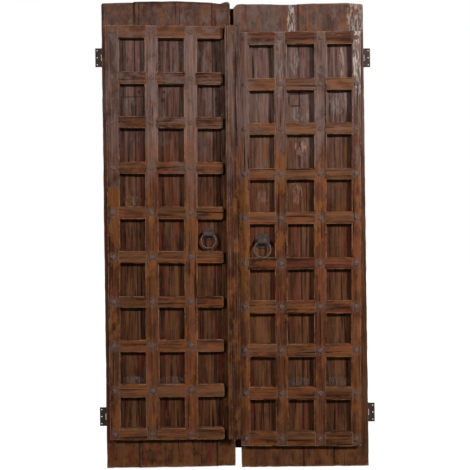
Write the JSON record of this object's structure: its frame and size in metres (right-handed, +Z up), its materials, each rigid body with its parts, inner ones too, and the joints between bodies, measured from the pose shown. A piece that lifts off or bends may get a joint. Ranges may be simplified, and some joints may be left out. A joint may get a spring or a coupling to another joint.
{
  "type": "double-leaf lattice plank door",
  "caption": "Pair of old wooden plank door leaves faced with a square half-lapped lattice, with an overlapping cover strip, iron ring pulls and butt hinges at the outer edges.",
  "frame": {"origin": "on the floor under the meeting edges, in the plane of the planks' front faces", "axes": "+X to the right as seen from the front, the lattice faces -Y, +Z up"},
  "size_m": [1.25, 0.102, 2.106],
  "materials": {
    "plank_wood": "worn, dusty, dark brown",
    "rail_wood": "worn orange brown with rubbed edges",
    "upright_wood": "worn grey brown with rubbed edges",
    "nail_iron": "dull, dusty forged iron",
    "pull_iron": "dark, brown-rusted forged iron",
    "hinge_steel": "plain dull steel"
  },
  "bodies": {
    "frame_side": {"hinge_frame_plates_left": "hinge_steel", "hinge_frame_plates_right": "hinge_steel", "hinge_pins_left": "hinge_steel", "hinge_pins_right": "hinge_steel"},
    "left_leaf": {"plank_left_1": "plank_wood", "plank_left_2": "plank_wood", "plank_left_3": "plank_wood", "stile_left": "upright_wood", "batten_left_1": "upright_wood", "batten_left_2": "upright_wood", "meeting_stile_left": "upright_wood", "astragal": "upright_wood", "rail_left_1": "rail_wood", "rail_left_2": "rail_wood", "rail_left_3": "rail_wood", "rail_left_4": "rail_wood", "rail_left_5": "rail_wood", "rail_left_6": "rail_wood", "rail_left_7": "rail_wood", "rail_left_8": "rail_wood", "rail_left_9": "rail_wood", "rail_left_10": "rail_wood", "nail_heads_left": "nail_iron", "pull_plate_left": "pull_iron", "pull_eye_left": "pull_iron", "hinge_leaf_plates_left": "hinge_steel", "hinge_screws_left": "hinge_steel"},
    "right_leaf": {"plank_right_1": "plank_wood", "plank_right_2": "plank_wood", "stile_right": "upright_wood", "batten_right_1": "upright_wood", "batten_right_2": "upright_wood", "meeting_stile_right": "upright_wood", "rear_strip": "plank_wood", "rail_right_1": "rail_wood", "rail_right_2": "rail_wood", "rail_right_3": "rail_wood", "rail_right_4": "rail_wood", "rail_right_5": "rail_wood", "rail_right_6": "rail_wood", "rail_right_7": "rail_wood", "rail_right_8": "rail_wood", "rail_right_9": "rail_wood", "rail_right_10": "rail_wood", "nail_heads_right": "nail_iron", "pull_plate_right": "pull_iron", "pull_eye_right": "pull_iron", "hinge_leaf_plates_right": "hinge_steel", "hinge_screws_right": "hinge_steel"},
    "left_ring": {"pull_ring_left": "pull_iron"},
    "right_ring": {"pull_ring_right": "pull_iron"}
  },
  "joints": [
    {"name": "right_leaf_hinge", "type": "hinge", "parent": "frame_side", "child": "right_leaf", "pos_m": [0.593, 0.0335, 1.041], "axis": [0, 0, -1], "range_deg": [0, 110]},
    {"name": "left_leaf_hinge", "type": "hinge", "parent": "frame_side", "child": "left_leaf", "pos_m": [-0.593, 0.0335, 1.0465], "axis": [0, 0, 1], "range_deg": [0, 88]},
    {"name": "left_ring_swing", "type": "hinge", "parent": "left_leaf", "child": "left_ring", "pos_m": [-0.1188, -0.0156, 1.0554], "axis": [-1, 0, 0], "range_deg": [-8, 140]},
    {"name": "right_ring_swing", "type": "hinge", "parent": "right_leaf", "child": "right_ring", "pos_m": [0.1215, -0.0176, 1.02], "axis": [-1, 0, 0], "range_deg": [0, 130]}
  ],
  "couplings": [
    {"joint": "left_leaf_hinge", "follows": "right_leaf_hinge", "ratio": 0.8}
  ]
}
